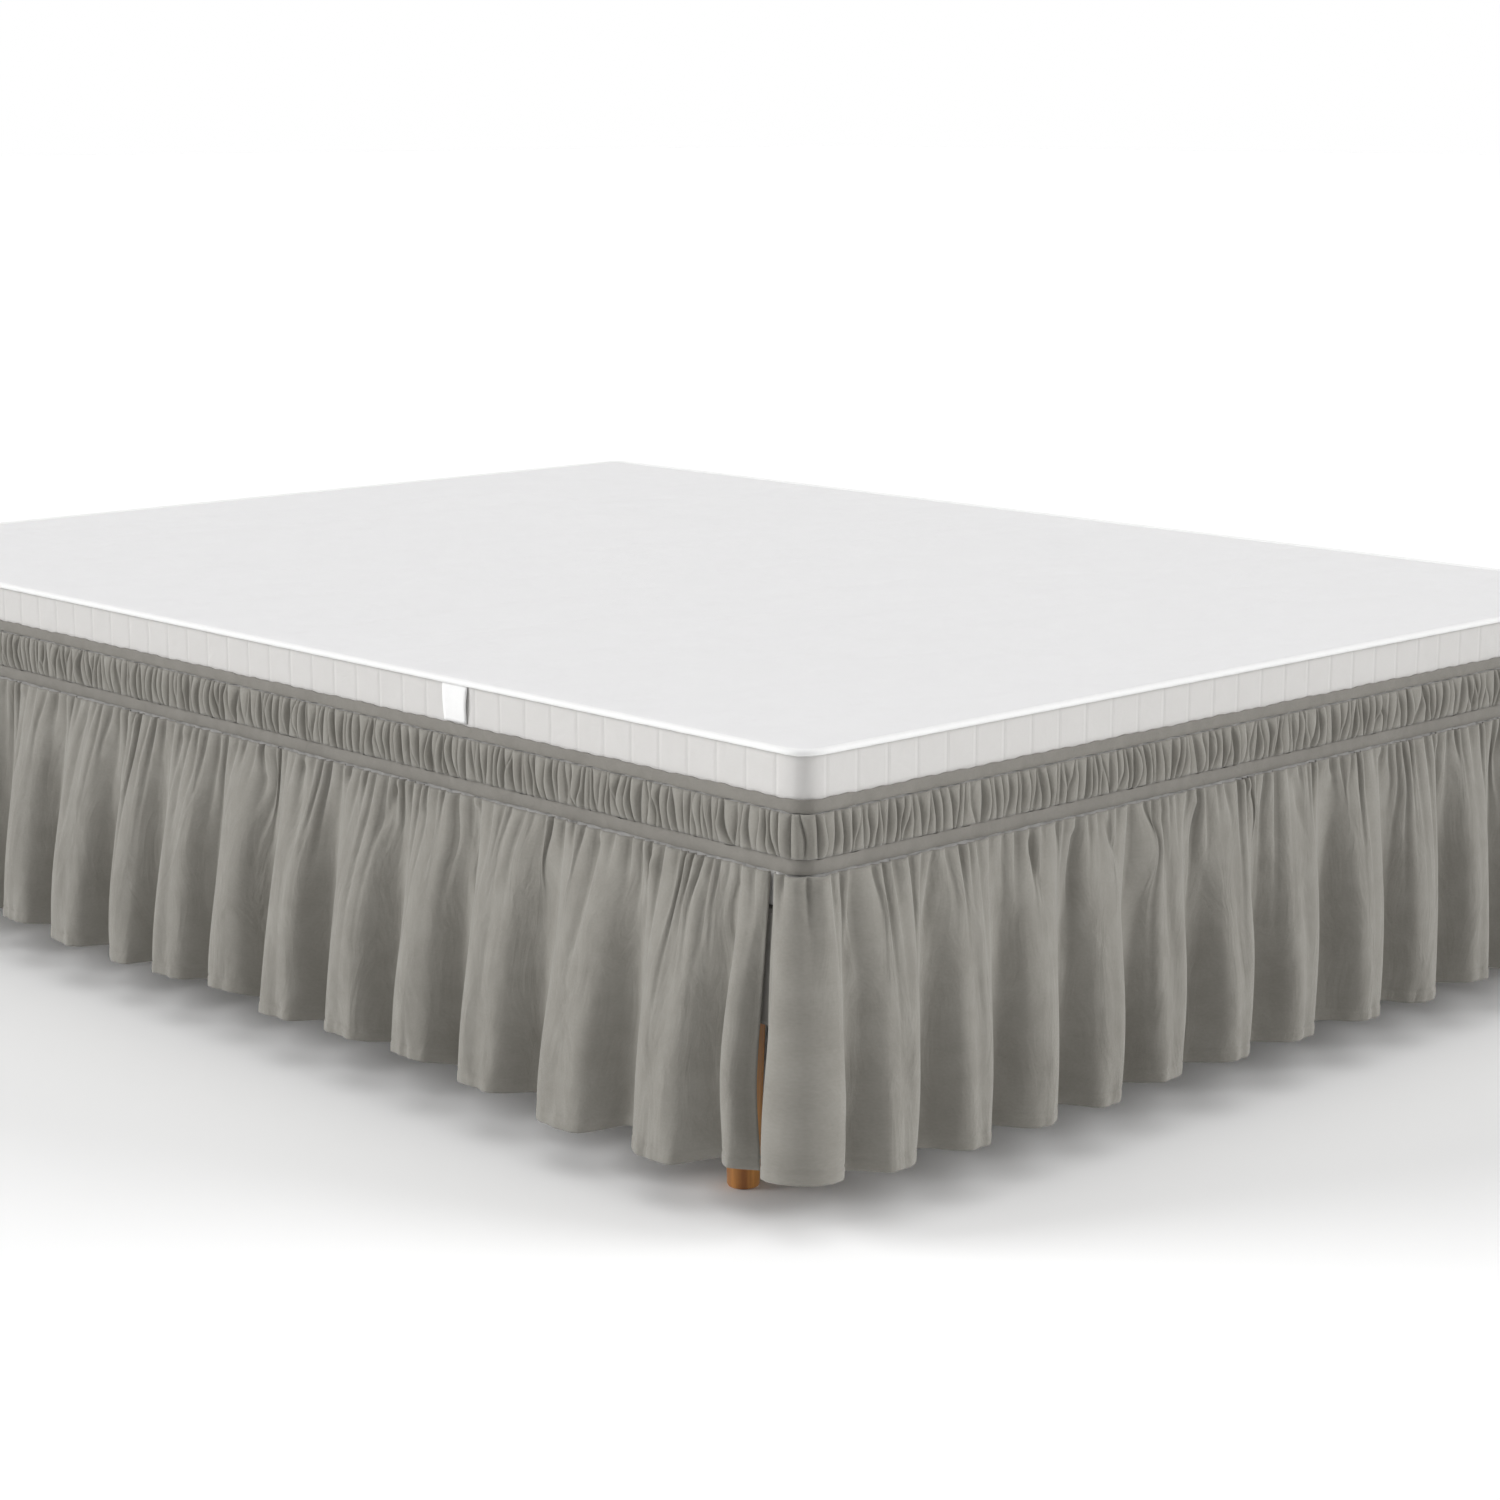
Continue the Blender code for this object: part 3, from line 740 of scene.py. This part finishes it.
def hanging_panel(rng, folds, creases, length, lean, split_bow):
    """Distance along the bed, distance from it and fall below the elastic for each row and column of a panel."""
    marks = gather_marks(rng, length, *GATHER_WIDTHS)
    count = len(marks) - 1
    even = np.linspace(0, length, count + 1)
    hem_marks = even + 0.45 * (marks - even)
    strength = rng.uniform(*GATHER_DEPTHS, count)
    reach = GATHER_LENGTHS[0] + (GATHER_LENGTHS[1] - GATHER_LENGTHS[0]) * rng.uniform(0, 1, count) ** 2
    drift = np.concatenate([[0.0], rng.normal(0, 0.010, count - 1), [0.0]])
    phase = np.append((np.arange(count)[:, None] + np.array(GATHER_SHAPE)).ravel(), count)
    number = np.minimum(phase.astype(int), count - 1)
    bulge = np.sin(math.pi * (phase - number)) ** 0.7 - 0.45
    fold_ends = np.cumsum([0.0] + [fold[0] for fold in folds])
    fold_ends *= length / fold_ends[-1]
    table = np.array(folds)
    waves = rng.uniform(0, math.tau, 6)
    fall = np.concatenate([np.arange(0, 0.052, 0.0035), np.arange(0.052, 0.286, 0.0070), np.arange(0.287, 0.3075, 0.0022)])
    fall = fall / fall[-1] * DROP_HEIGHT
    alongs, aways, falls = [], [], []
    for down in fall:
        share = down / DROP_HEIGHT
        moved = np.maximum.accumulate(marks + drift * eased(down / 0.07) * (1 - eased(down / 0.16)))
        from_edge = np.interp(phase, np.arange(count + 1), moved)
        at_hem = np.interp(phase, np.arange(count + 1), hem_marks)
        along = from_edge + (at_hem - from_edge) * eased(down / 0.16)
        fold = np.clip(np.searchsorted(fold_ends, along, side="right") - 1, 0, len(folds) - 1)
        _, depth, hem_fall, skew, dent = table[fold].T
        turn = (along - fold_ends[fold]) / (fold_ends[fold + 1] - fold_ends[fold])
        turn = turn + 0.055 * skew * np.sin(math.tau * turn) * share
        swell = ridge_shape(turn)
        opened = 0.05 + 0.95 * math.sin(math.pi / 2 * share)
        stands = (VALLEY_DEPTH + (depth - NEAREST - VALLEY_DEPTH) * swell) * opened
        stands -= dent * opened * np.exp(-(((turn - 0.5) / 0.10) ** 2))
        gather = strength[number] * bulge * np.exp(-((down / reach[number]) ** 1.6)) * min(1.0, 0.6 + down / 0.012)
        ripple = 0.0016 * share * (
            np.sin(along * 61 + waves[0] + 5 * share) + 0.7 * np.sin(along * 103 + waves[1] - 7 * share)
        )
        line = np.zeros_like(along)
        for start, top, tall, slant, width, trough in creases:
            middle = start + slant * (down - top) / tall
            window = eased((down - top) / 0.012) * eased((top + tall - down) / (0.5 * tall))
            line -= trough * window * np.exp(-np.abs((along - middle) / width) ** 1.5)
        hem_share = eased((down - (DROP_HEIGHT - HEM)) / 0.0015)
        stitch = math.exp(-(((down - (DROP_HEIGHT - HEM)) / 0.0016) ** 2))
        pucker = 0.0008 * np.sin(along * 290 + 2.2 * np.sin(along * 37)) * eased((share - 0.9) / 0.07)
        away = NEAREST + 0.0016 + stands + gather + ripple + line + 0.0006 * hem_share - 0.0008 * stitch + pucker
        bow = split_bow * eased(share / SPLIT_WIDEST) * (1 - 0.9 * eased((share - SPLIT_WIDEST) / (1 - SPLIT_WIDEST)))
        shift = lean * (share - 1) * np.clip(np.minimum(along, length - along) / LEAN_STARTS, 0, 1)
        alongs.append(along + shift + bow * np.clip(1 - along / SPLIT_REACH, 0, 1))
        aways.append(np.maximum(away, NEAREST))
        falls.append(down * (1 + hem_fall * swell / DROP_HEIGHT))
    cloth = np.stack(np.broadcast_arrays((phase * 0.021)[None, :], -fall[:, None]), axis=-1)
    return np.array(alongs), np.array(aways), np.array(falls), cloth


wrap_past_curve = FOOT_PANEL_WRAP - MATTRESS_CORNER
side_start = wrap_past_curve + SPLIT_WIDTH
foot_end = FOOT_LENGTH + 2 * CORNER_ARC
panels = (
    ("left", 5, LEFT_FOLDS, LEFT_CREASES, SIDE_LENGTH - side_start, SIDE_LEAN, SPLIT_BOW),
    ("foot", 11, FOOT_FOLDS, FOOT_CREASES, foot_end + 2 * wrap_past_curve, FOOT_LEAN, 0.0),
    ("right", 17, RIGHT_FOLDS, RIGHT_CREASES, SIDE_LENGTH - side_start, SIDE_LEAN, SPLIT_BOW),
)
panel_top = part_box("drop_foot")[1].z
for side, seed, folds, creases, length, lean, split_bow in panels:
    along, away, fall, cloth = hanging_panel(np.random.default_rng(seed), folds, creases, length, lean, split_bow)
    if side == "left":
        distance = -(side_start + along)[:, ::-1]
        away, fall, cloth = away[:, ::-1], fall[:, ::-1], cloth[:, ::-1]
    elif side == "foot":
        distance = along - wrap_past_curve
    else:
        distance = foot_end + side_start + along
    bm = shaped_grid(beside_bed(distance, away, panel_top - fall), cloth)
    panel = finished_piece(
        f"hanging_panel_{side}", bm, skirt_cloth, "taupe_cloth", f"drop_{side}", smooth_angle=180
    )
    solid = panel.modifiers.new("thickness", "SOLIDIFY")
    solid.thickness = CLOTH_THICKNESS
    solid.offset = -1


# Floor, light and camera
#
# A plain pale floor, two broad soft lights from beyond the bed's sides and one above, and the camera beyond the
# near foot corner.
FLOOR_COLOUR = (0.970, 0.970, 0.970, 1)
LIGHTS = (
    ("left light", (-3.7, 3.2, 2.0), 34, 2.7),
    ("right light", (3.2, -3.7, 1.9), 34, 2.3),
    ("overhead light", (0.0, -0.6, 4.2), 70, 0.95),
)
SKY_LIGHT = 0.20
SKY_SEEN = 1.0
CAMERA_FROM_CORNER = (-2.841, -3.142)
CAMERA_HEIGHT = 1.108
CAMERA_PITCH = 11.63
CAMERA_TURN = -43.35
CAMERA_LENS = 75.2

bm = bmesh.new()
bmesh.ops.create_grid(bm, x_segments=1, y_segments=1, size=60)
floor_mesh = bpy.data.meshes.new("floor")
bm.to_mesh(floor_mesh)
bm.free()
floor_paint, floor_tree, floor_shader = new_material("floor paint", 0.9)
floor_shader.inputs["Base Color"].default_value = FLOOR_COLOUR
floor_mesh.materials.append(floor_paint)
floor = bpy.data.objects.new("floor", floor_mesh)
bpy.context.scene.collection.objects.link(floor)

for name, place, softness, strength in LIGHTS:
    lamp = bpy.data.lights.new(name, "SUN")
    lamp.angle = math.radians(softness)
    lamp.energy = strength
    light = bpy.data.objects.new(name, lamp)
    light.location = place
    light.rotation_euler = (
        math.atan2(math.hypot(place[0], place[1]), place[2]), 0, math.atan2(place[0], -place[1])
    )
    bpy.context.scene.collection.objects.link(light)

world = bpy.data.worlds.new("studio")
world.use_nodes = True
sky = world.node_tree.nodes["Background"].inputs
seen = add_node(world.node_tree, "ShaderNodeLightPath").outputs["Is Camera Ray"]
strength = add_node(world.node_tree, "ShaderNodeMapRange", Value=seen, To_Min=SKY_LIGHT, To_Max=SKY_SEEN)
sky["Color"].default_value = (1.0, 1.0, 1.0, 1)
world.node_tree.links.new(strength.outputs["Result"], sky["Strength"])
bpy.context.scene.world = world
bpy.context.scene.view_settings.view_transform = "Standard"

camera_data = bpy.data.cameras.new("camera")
camera_data.sensor_width = 36
camera_data.lens = CAMERA_LENS
camera = bpy.data.objects.new("camera", camera_data)
camera.location = (CAMERA_FROM_CORNER[0], CAMERA_FROM_CORNER[1] + BED_MIDDLE_Y, CAMERA_HEIGHT)
camera.rotation_euler = (math.radians(90 - CAMERA_PITCH), 0, math.radians(CAMERA_TURN))
bpy.context.scene.collection.objects.link(camera)
bpy.context.scene.camera = camera
